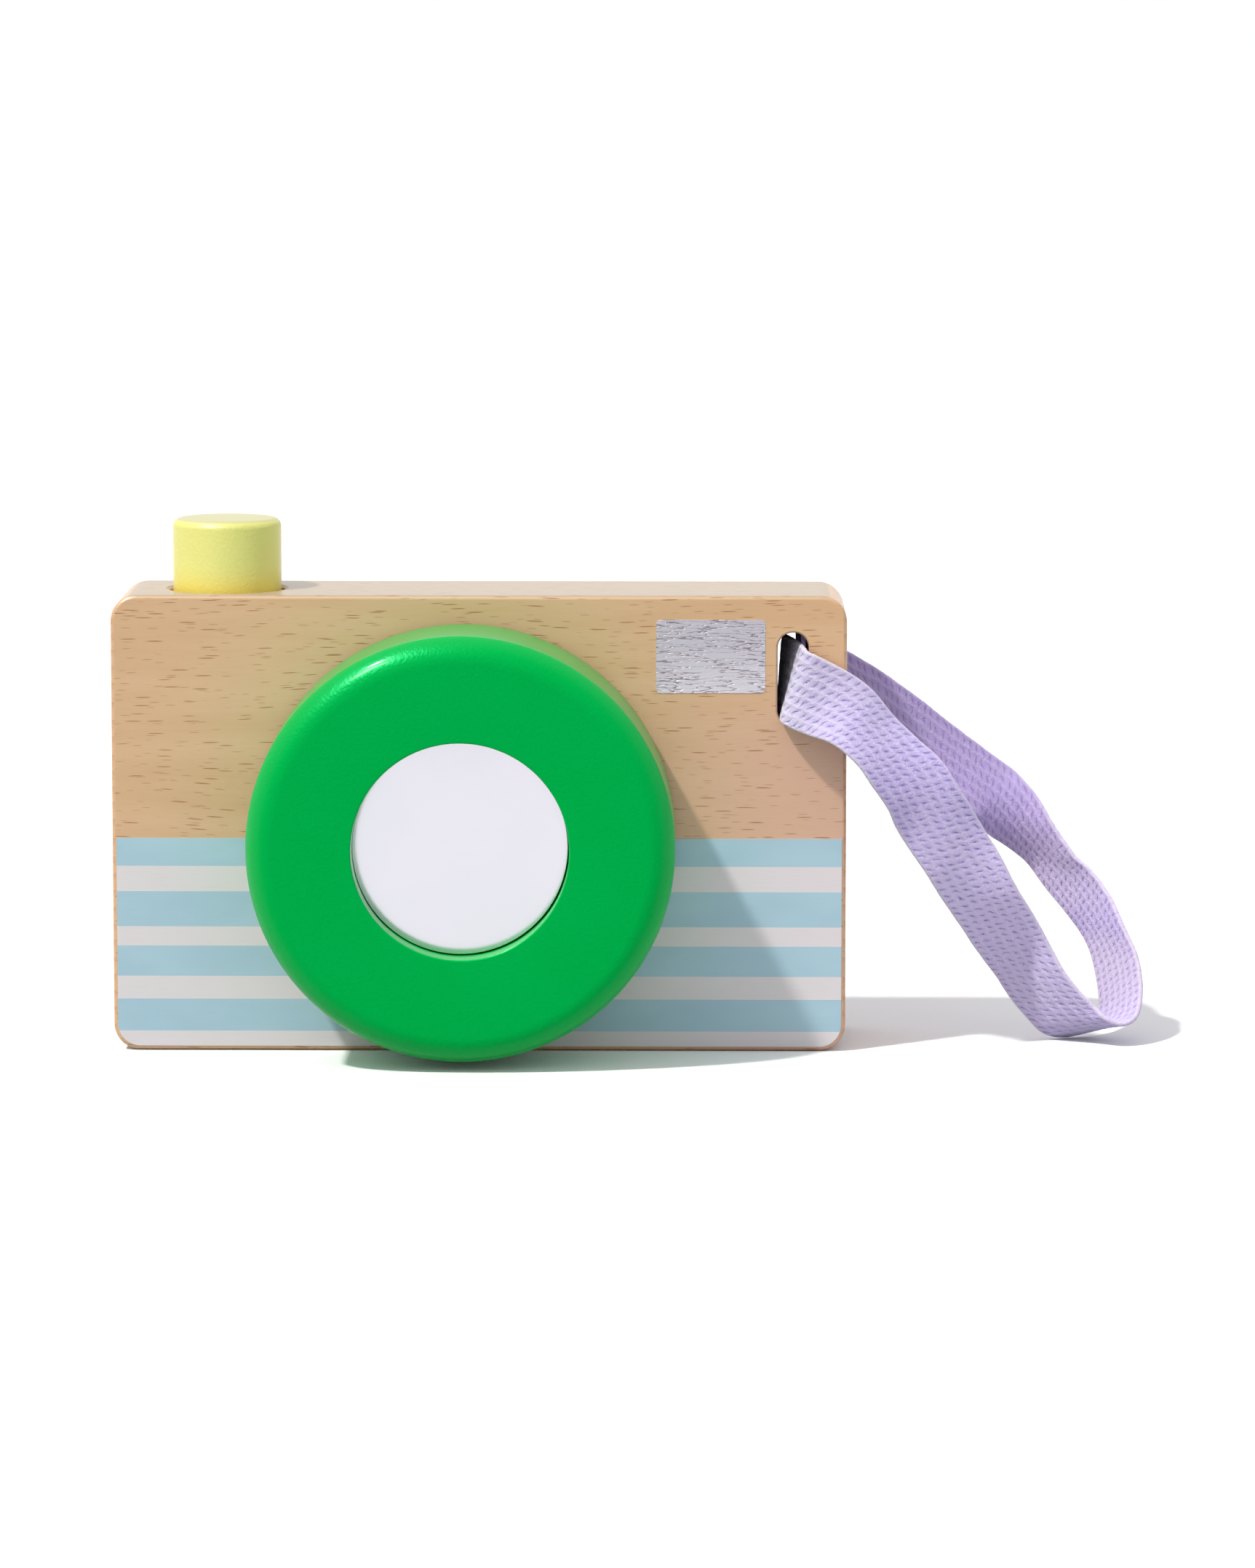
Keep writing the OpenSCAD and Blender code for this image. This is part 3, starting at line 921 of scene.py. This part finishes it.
@dataclass
class Lens:
    """Turning lens: painted ring, pale disc, adhesive, hub and felt. Sizes are in metres."""

    foot: Triple = (-0.0024, -0.0125, 0.036)
    ring_radius: float = 0.0345
    ring_back: float = 0.0009
    ring_front: float = 0.0227
    front_rounding: float = 0.0044
    front_lean: float = math.radians(65)
    front_arris: float = 0.0002
    front_steps: int = 14
    back_rounding: float = 0.0008
    bore_radius: float = 0.0175
    rim_rounding: float = 0.0003
    seat: float = 0.0152
    head_room_radius: float = 0.0128
    web_front: float = 0.0099
    shaft_radius: float = 0.00808
    disc_radius: float = 0.01736
    disc_shift: Triple = (-0.00012, 0.0, 0.00012)
    disc_back: float = 0.0157
    disc_face: float = 0.0177
    disc_arris: float = 0.00006
    steps: int = 160

    def turn(self, corners: Sequence[Corner]) -> Shape:
        """Turns a profile on the lens axis, with stations forward from the block."""
        return turned(corners, Vector(self.foot), Vector((0, -1, 0)), Vector((1, 0, 0)), self.steps)

    def crown(self) -> List[Corner]:
        """Gives the front edge, an arc that leaves the face smoothly.

        Returns:
            Its corners, from the arris at the side to the face.
        """
        sweep = self.front_rounding / math.sin(self.front_lean)
        corners = []
        for step in range(self.front_steps, -1, -1):
            lean = self.front_lean * step / self.front_steps
            inset = sweep * (math.sin(self.front_lean) - math.sin(lean))
            station = self.ring_front - sweep * (1.0 - math.cos(lean))
            rounding = self.front_arris if step == self.front_steps else 0.0
            corners.append(Corner(self.ring_radius - inset, station, rounding))
        return corners

    def ring_shape(self) -> Shape:
        """Makes the ring with its web, seat and bore."""
        return self.turn([
            Corner(self.shaft_radius, self.ring_back),
            Corner(self.ring_radius, self.ring_back, self.back_rounding),
            *self.crown(),
            Corner(self.bore_radius, self.ring_front, self.rim_rounding),
            Corner(self.bore_radius, self.seat),
            Corner(self.head_room_radius, self.seat),
            Corner(self.head_room_radius, self.web_front),
            Corner(self.shaft_radius, self.web_front),
        ])

    def disc_shape(self) -> Shape:
        """Makes the disc with its broken edge, laid a little to the upper left of its seat.

        Returns:
            The disc, in its place.
        """
        shape = self.turn([
            Corner(0.0, self.disc_back),
            Corner(self.disc_radius, self.disc_back),
            Corner(self.disc_radius, self.disc_face, self.disc_arris),
            Corner(0.0, self.disc_face),
        ])
        bmesh.ops.translate(shape, verts=shape.verts[:], vec=self.disc_shift)
        return shape

    def build(self) -> None:
        """Makes the ring and the disc and dresses what is behind them."""
        green = GlossPaint(
            "green_gloss", srgb(0, 172, 70), srgb(0, 175, 77), tint=(0.02, 0.9, 0.4), specular=0.25,
            coat=0.0, rolled_coat=0.16, grazing_coat=0.21, coat_roughness=0.14,
        )
        ring = mesh_object("lens_ring_turned", self.ring_shape())
        place_piece(ring, Body.LENS, green, "lens_ring")
        disc = mesh_object("lens_disc_face", self.disc_shape())
        place_piece(disc, Body.LENS, PaleDisc("lilac_white_disc"), "lens_disc")
        dress_node("disc_pad", Adhesive("foam_adhesive"))
        dress_node("lens_hub", Beech("bare_beech_hub", coat=0.0, roughness=0.6))
        dress_node("felt_washer", Felt("grey_felt"))


@dataclass
class ShutterButton:
    """Painted button with its pin slot and spring pocket, spring and pin. Sizes are in metres."""

    foot: Triple = (-0.0417, 0.0, 0.051)
    radius: float = 0.0089
    length: float = 0.0356
    top_rounding: float = 0.0014
    pocket_radius: float = 0.0054
    pocket_depth: float = 0.007
    slot_radius: float = 0.0023
    slot_low: float = 0.0115
    slot_high: float = 0.0165
    slot_margin: float = 0.003
    slot_steps: int = 32
    steps: int = 96
    spring_radius: float = 0.0048
    wire_radius: float = 0.0005
    wire_steps: int = 12
    spring_low: float = 0.0401
    spring_high: float = 0.0579
    curls: int = 6
    curl_steps: int = 32
    travel: float = 0.0051

    def spring_shape(self) -> Shape:
        """Winds the spring from a ring of the wire.

        Returns:
            The spring, at rest.
        """
        shape = bmesh.new()
        axis = Vector((self.foot[0], self.foot[1], self.spring_low + self.wire_radius))
        side = Vector((self.spring_radius - self.wire_radius, 0.0, 0.0))
        place = Matrix.Translation(axis + side) @ Matrix.Rotation(math.pi / 2, 4, "X")
        bmesh.ops.create_circle(
            shape, segments=self.wire_steps, radius=self.wire_radius, matrix=place
        )
        turns = self.curls * self.curl_steps
        rise = self.spring_high - self.spring_low - 2.0 * self.wire_radius
        bmesh.ops.spin(
            shape, geom=shape.verts[:] + shape.edges[:], cent=axis, axis=(0.0, 0.0, 1.0),
            dvec=(0.0, 0.0, rise / turns), angle=2.0 * math.pi * self.curls, steps=turns,
        )
        bmesh.ops.remove_doubles(shape, verts=shape.verts[:], dist=WELD)
        bmesh.ops.holes_fill(shape, edges=[e for e in shape.edges if e.is_boundary], sides=0)
        bmesh.ops.recalc_face_normals(shape, faces=shape.faces[:])
        return shape

    def button_shape(self) -> Shape:
        """Makes the turned button with the pocket for its spring."""
        corners = [
            Corner(0.0, self.pocket_depth),
            Corner(self.pocket_radius, self.pocket_depth),
            Corner(self.pocket_radius, 0.0),
            Corner(self.radius, 0.0),
            Corner(self.radius, self.slot_low - self.slot_margin),
            Corner(self.radius, self.slot_high + self.slot_margin),
            Corner(self.radius, self.length, self.top_rounding),
            Corner(0.0, self.length),
        ]
        return turned(corners, Vector(self.foot), Vector((0, 0, 1)), Vector((1, 0, 0)), self.steps)

    def slot_cutter(self) -> Piece:
        """Makes the solid that cuts the slot for the pin.

        Returns:
            The solid, in its place.
        """
        shape = bmesh.new()
        across = Matrix.Rotation(math.pi / 2, 4, "X")
        for height in (self.slot_low, self.slot_high):
            place = Matrix.Translation(Vector(self.foot) + Vector((0, 0, height))) @ across
            bmesh.ops.create_cone(
                shape, cap_ends=True, segments=self.slot_steps, radius1=self.slot_radius,
                radius2=self.slot_radius, depth=self.radius * 3, matrix=place,
            )
        bmesh.ops.delete(shape, geom=shape.edges[:] + shape.faces[:], context="EDGES_FACES")
        hull = bmesh.ops.convex_hull(shape, input=shape.verts[:])
        spare = {g for key in ("geom_interior", "geom_unused") for g in hull[key]}
        inner = [g for g in spare if isinstance(g, bmesh.types.BMVert)]
        bmesh.ops.delete(shape, geom=inner, context="VERTS")
        bmesh.ops.recalc_face_normals(shape, faces=shape.faces[:])
        return mesh_object("pin_slot_cutter", shape)

    def cut(self, piece: Piece, cutter: Piece) -> None:
        """Cuts a solid out of a piece and drops the solid.

        Args:
            piece: Piece to cut.
            cutter: Solid that is taken away.
        """
        change = piece.modifiers.new("pin_slot", "BOOLEAN")
        change.operation = "DIFFERENCE"
        change.solver = "EXACT"
        change.object = cutter
        graph = bpy.context.evaluated_depsgraph_get()
        cut_mesh = bpy.data.meshes.new_from_object(piece.evaluated_get(graph))
        piece.modifiers.clear()
        piece.data = cut_mesh
        cut_mesh.shade_smooth()
        cut_mesh.set_sharp_from_angle(angle=SHARP_ANGLE)
        bpy.data.objects.remove(cutter)

    def build(self) -> None:
        """Makes the button and its spring and dresses the pin."""
        # The yellow paint carries a painted reflection of the wood's warm light at its foot and
        # painted shade on its top.
        yellow = GlossPaint(
            "yellow_gloss", srgb(224, 222, 126), srgb(222, 217, 112), roughness=0.45,
            coat=0.12, coat_roughness=0.35, grazing_coat=0.4,
            foot=srgb(228, 210, 84), painted_top_shade=srgb(197, 193, 138),
        )
        button = mesh_object("shutter_button_turned", self.button_shape())
        self.cut(button, self.slot_cutter())
        place_piece(button, Body.BUTTON, yellow, "shutter_button")
        spring = mesh_object("button_spring_wound", self.spring_shape())
        steel = DrawnSteel("spring_wire")
        place_piece(spring, Body.CAMERA, steel, "button_spring")
        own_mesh(spring)
        dress_node("button_pin", Beech("bare_beech_pin", coat=0.0, roughness=0.6))


@dataclass(frozen=True)
class TapePoint:
    """Tape's middle in millimetres, direction of its width and how much of that is spread."""

    middle: Triple
    across: Triple
    spread: float = 1.0


STRAP_ROUTE = tuple(TapePoint(row[:3], row[3:6], *row[6:]) for row in (
    (49.55, 4, 61, 0.9, 0, 13),
    (50.15, -3, 61.2, 1.9, 0, 13),
    (51, -10, 61.1, 3.1, 0, 12.5),
    (51.1, -12.3, 60.9, 3.6, 0, 12.2),
    (51.5, -14, 60.3, 4.3, 0, 11.8),
    (53, -15, 59.6, 4.8, 1.2, 11.5),
    (56.5, -15.5, 58, 6, 3.5, 10.5),
    (61, -16.5, 55.5, 6.5, 7, 8),
    (64.5, -16.5, 52, 6.5, 8.5, 6.5),
    (67.5, -16.5, 48.5, 7.5, 7.5, 7),
    (71, -16, 44.5, 9, 5, 7.5),
    (73.5, -15, 40, 10, 3, 7),
    (78.5, -12.5, 32, 9.5, 3.5, 7.5),
    (83.5, -9.5, 23.7, 8.8, -1, 7.5, 0.93),
    (88.8, -4.5, 14.9, 8.2, -6.2, 7.1),
    (91.6, -4, 10.3, 8.6, -7.2, 5.5),
    (94.3, -4, 6.8, 8.9, -7.3, 5.0),
    (97.1, -4, 3.9, 8.3, -7.6, 5.4),
    (99.7, -3.6, 2.6, 6.1, -9.8, 4.8),
    (103.2, -2.4, 2.5, 4.9, -11.2, 2.6),
    (105.5, -0.4, 4.1, 5.5, -11.1, 1.5),
    (106, 2.6, 8, 6.6, -10.5, 1.5),
    (105.3, 6.2, 12.8, 6.8, -10.4, 1.4),
    (103.5, 9.6, 16.8, 6.8, -10.3, 2.1),
    (100.8, 12.4, 21.2, 7.4, -9.5, 3.3),
    (97.9, 14.5, 24.9, 7.3, -9.4, 3.8),
    (94.7, 15.8, 28.4, 7.4, -9.7, 2.7),
    (91, 16.2, 32.5, 7.4, -6, 4.5, 0.9),
    (87.5, 16.6, 36.5, 7.6, 1, 7.2, 0.86),
    (84, 17, 39.5, 7, 6.5, 8),
    (75.5, 18, 45.5, 6.5, 5.5, 9),
    (67.5, 17, 51.5, 6, 4.5, 10),
    (59, 15, 57, 4.5, 2.5, 11),
    (54.5, 14.5, 59, 3.5, 0.5, 12),
    (52.5, 13, 60, 1.5, 0, 12.5),
    (52.3, 10, 60.8, 0.3, 0, 13),
    (52.3, -2, 61, 0, 0, 13),
))


@dataclass(frozen=True)
class TapeFrame:
    """Middle, width direction and face direction of the tape at one row of its mesh."""

    middle: Vector
    across: Vector
    facing: Vector
    run: float


@dataclass
class WristLoop:
    """Woven tape loop. Sizes are in metres."""

    width: float = 0.0125
    thickness: float = 0.0009
    weave: Weave = Weave()
    relief: float = 0.00014
    wave: float = 0.00016
    edge_waves: float = 0.16
    face_waves: float = 0.1
    slack: float = 0.3
    slack_along: float = 1.6
    slack_scale: float = 0.6
    sharp_angle: float = math.radians(75)
    path_step: int = 6
    side_steps: int = 46
    edge_steps: int = 4
    row_length: float = 0.00027
    samples: int = 24
    slot_depth: float = 0.0125
    block_side: float = 0.06
    wave_gap: float = 0.001
    wave_fade: float = 0.002
    exit: Triple = (0.0512, -0.0125, 0.061)
    length: float = 0.206

    @staticmethod
    def curve(a: Vector, b: Vector, c: Vector, d: Vector, t: float) -> Vector:
        """Gives a place between b and c on the smooth curve through four points."""
        bend = (2 * a - 5 * b + 4 * c - d) + t * (3 * b - a - 3 * c + d)
        return b + 0.5 * t * ((c - a) + t * bend)

    def smooth(self, points: Sequence[Vector]) -> List[Vector]:
        """Runs a smooth curve through points.

        Args:
            points: Points, in order.

        Returns:
            Samples of the curve.
        """
        last = len(points) - 1
        made = []
        for k in range(last):
            ends = [points[max(0, min(last, k + j))] for j in (-1, 0, 1, 2)]
            made += [self.curve(*ends, s / self.samples) for s in range(self.samples)]
        return made + [points[last]]

    def frames(self) -> List[TapeFrame]:
        """Lays out the rows of the mesh at even steps along the route.

        Returns:
            One frame for each row.
        """
        middles = self.smooth([Vector(p.middle) * MM for p in STRAP_ROUTE])
        widths = self.smooth([Vector(p.across).normalized() for p in STRAP_ROUTE])
        spreads = self.smooth([Vector((p.spread, 0.0, 0.0)) for p in STRAP_ROUTE])
        runs = [0.0]
        for before, after in zip(middles, middles[1:]):
            runs.append(runs[-1] + (after - before).length)
        rows = round(runs[-1] / self.row_length)
        made = []
        k = 0
        for row in range(rows + 1):
            run = runs[-1] * row / rows
            while k < len(runs) - 2 and runs[k + 1] < run:
                k += 1
            t = (run - runs[k]) / (runs[k + 1] - runs[k])
            middle = middles[k].lerp(middles[k + 1], t)
            across = widths[k].lerp(widths[k + 1], t).normalized()
            low, high = max(0, k - 3), min(len(middles) - 1, k + 4)
            heading = (middles[high] - middles[low]).normalized()
            facing = heading.cross(across).normalized()
            made.append(TapeFrame(middle, across * spreads[k].x, facing, run))
        return made

    def section(self) -> List[Tuple[float, float, float, float]]:
        """Gives the tape's section.

        Returns:
            For each point its place across and through the tape, and its outward direction.
        """
        r = self.thickness / 2
        flat = self.width / 2 - r
        made = []
        for side in (1.0, -1.0):
            for s in range(self.side_steps):
                made.append((side * flat * (2.0 * s / self.side_steps - 1.0), side * r, 0.0, side))
            for s in range(self.edge_steps):
                turn = math.pi * s / self.edge_steps
                out_across, out_face = side * math.sin(turn), side * math.cos(turn)
                made.append((side * flat + r * out_across, r * out_face, out_across, out_face))
        return made + [made[0]]

    def shape(self) -> Shape:
        """Bends a grid into the flat woven tube of the tape and closes its ends.

        Returns:
            The tape, with its UV map in millimetres.
        """
        frames, section = self.frames(), self.section()
        rows, sides = len(frames) - 1, len(section) - 1
        shape = bmesh.new()
        bmesh.ops.create_grid(shape, x_segments=sides, y_segments=rows, size=1.0)
        places: Dict[bmesh.types.BMVert, Tuple[float, float]] = {}
        for point in shape.verts:
            spot = section[round((point.co.x + 1.0) / 2.0 * sides)]
            here = frames[round((point.co.y + 1.0) / 2.0 * rows)]
            across_mm, along_mm = self.yarn_place((spot[0] + self.width / 2) / MM, here.run / MM)
            dip = self.relief * (1.0 - self.weave.height(across_mm, along_mm))
            side_shift, face_shift = self.waves(spot[0] / self.width * 2.0, along_mm, here.middle)
            point.co = (
                here.middle
                + here.across * (spot[0] - dip * spot[2] + side_shift)
                + here.facing * (spot[1] - dip * spot[3] + face_shift)
            )
            places[point] = (across_mm, along_mm)
        layer = shape.loops.layers.uv.new("tape")
        for face in shape.faces:
            for loop in face.loops:
                loop[layer].uv = places[loop.vert]
        bmesh.ops.remove_doubles(shape, verts=shape.verts[:], dist=WELD)
        ends = bmesh.ops.holes_fill(shape, edges=[e for e in shape.edges if e.is_boundary], sides=0)
        bmesh.ops.triangulate(shape, faces=ends["faces"])
        bmesh.ops.recalc_face_normals(shape, faces=shape.faces[:])
        return shape

    def yarn_place(self, across: float, along: float) -> Tuple[float, float]:
        """Moves a place on the tape to where uneven yarns carry it, in millimetres.

        Args:
            across: Distance from one edge of the tape.
            along: Distance along the tape.

        Returns:
            Both distances after the move.
        """
        here = Vector((across * self.slack_scale, along * self.slack_scale, 0.0))
        aside = noise.noise(here) * self.slack
        ahead = noise.noise(here + Vector((0.0, 0.0, 6.0))) * self.slack * self.slack_along
        return across + aside, along + ahead

    def waves(self, side: float, along: float, middle: Vector) -> Tuple[float, float]:
        """Gives the small waves of a slack tape, which fade out in the slot.

        Args:
            side: Place across the tape, from -1 to 1.
            along: Distance along the tape in millimetres.
            middle: Middle of the tape there.

        Returns:
            The shift across the tape and the shift through it.
        """
        clear = (abs(middle.y) - self.slot_depth - self.wave_gap) / self.wave_fade
        free = 1.0 if middle.x > self.block_side else max(0.0, min(1.0, clear))
        sign = math.copysign(1.0, side)
        edge = noise.noise(Vector((along * self.edge_waves, 5.0 * sign, 1.5))) * abs(side)
        face = noise.noise(Vector((along * self.face_waves, 4.0, side * 0.8)))
        return self.wave * edge * free * sign, self.wave * face * free

    def build(self) -> None:
        tape = mesh_object("wrist_loop", self.shape(), self.sharp_angle)
        cotton = WovenTape("lilac_tape", self.weave)
        place_piece(tape, Body.CAMERA, cotton, "strap_tape")
        path = [tuple(f.middle) for f in self.frames()[:: self.path_step]]
        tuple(self.exit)


@dataclass(frozen=True)
class Lamp:
    """Distant lamp: strength, colour, direction of its light and how wide it looks."""

    name: str
    strength: float
    tone: Triple
    travel: Triple
    angle: float

    def hang(self) -> Piece:
        """Adds the lamp to the scene.

        Returns:
            The lamp.
        """
        data = bpy.data.lights.new(self.name, "SUN")
        data.energy = self.strength
        data.color = self.tone
        data.angle = self.angle
        made = bpy.data.objects.new(self.name, data)
        made.rotation_euler = Vector(self.travel).to_track_quat("-Z", "Y").to_euler()
        bpy.context.scene.collection.objects.link(made)
        return made


@dataclass
class Studio:
    """Pale floor, plain light and the camera. Sizes are in metres."""

    eye: Triple = (0.032614, -1.043736, 0.178850)
    target: Triple = (0.024261, -0.0125, 0.044129)
    roll: float = 0.0008
    lens: float = 146.24
    sensor: float = 36.0
    floor_reach: float = 12.0
    floor_depth: float = 0.0001
    sky_left: Triple = (0.66, 0.67, 0.695)
    sky_right: Triple = (0.75, 0.76, 0.785)
    shown_sky: Triple = (1.0, 1.0, 1.0)
    key: Lamp = Lamp("key", 2.6, (1.0, 0.98, 0.945), (0.458, 0.342, -0.820), math.radians(3.5))
    glint: Lamp = Lamp("glint", 7.0, (1.0, 0.8, 0.7), (0.453, 0.534, -0.715), math.radians(11))

    def camera(self) -> None:
        """Places the camera at the photograph's viewing angle."""
        data = bpy.data.cameras.new("view")
        data.lens = self.lens
        data.sensor_width = self.sensor
        data.clip_end = 100.0
        made = bpy.data.objects.new("view", data)
        bpy.context.scene.collection.objects.link(made)
        eye = Vector(self.eye)
        turn = (Vector(self.target) - eye).to_track_quat("-Z", "Y").to_matrix().to_4x4()
        made.matrix_world = Matrix.Translation(eye) @ turn @ Matrix.Rotation(self.roll, 4, "Z")
        bpy.context.scene.camera = made

    def floor(self) -> None:
        """Lays the floor."""
        shape = bmesh.new()
        bmesh.ops.create_grid(shape, x_segments=1, y_segments=1, size=self.floor_reach)
        bmesh.ops.translate(shape, verts=shape.verts[:], vec=(0, 0, -self.floor_depth))
        made = mesh_object("floor", shape)
        made.data.materials.append(PaleFloor("pale_floor").make())

    def light(self) -> None:
        """Sets the soft sky, the key light from the upper left and its glint on gloss."""
        world = bpy.data.worlds.new("sky")
        bpy.context.scene.world = world
        world.use_nodes = True
        graph = Graph(world.node_tree)
        across, _, _ = graph.parts(graph.node("ShaderNodeTexCoord", None, None, "Generated"))
        lit = graph.mix(across * 0.5 + 0.5, self.sky_left, self.sky_right)
        tone = graph.mix(graph.seen(), lit, self.shown_sky)
        shader = graph.node("ShaderNodeBackground", None, {"Color": tone, "Strength": 1.0})
        graph.node("ShaderNodeOutputWorld", None, {"Surface": shader})
        self.key.hang()
        glint = self.glint.hang()
        glint.visible_diffuse = False
        glint.visible_transmission = False

    def build(self) -> None:
        """Sets up the whole studio."""
        bpy.context.scene.view_settings.view_transform = "Standard"
        self.camera()
        self.floor()
        self.light()


def main() -> None:
    """Builds the studio and the pieces in order."""
    logging.basicConfig(level=logging.INFO, format="%(name)s %(message)s")
    Studio().build()
    WristLoop().build()
    Block().build()
    Lens().build()
    ShutterButton().build()


if __name__ == "__main__":
    main()
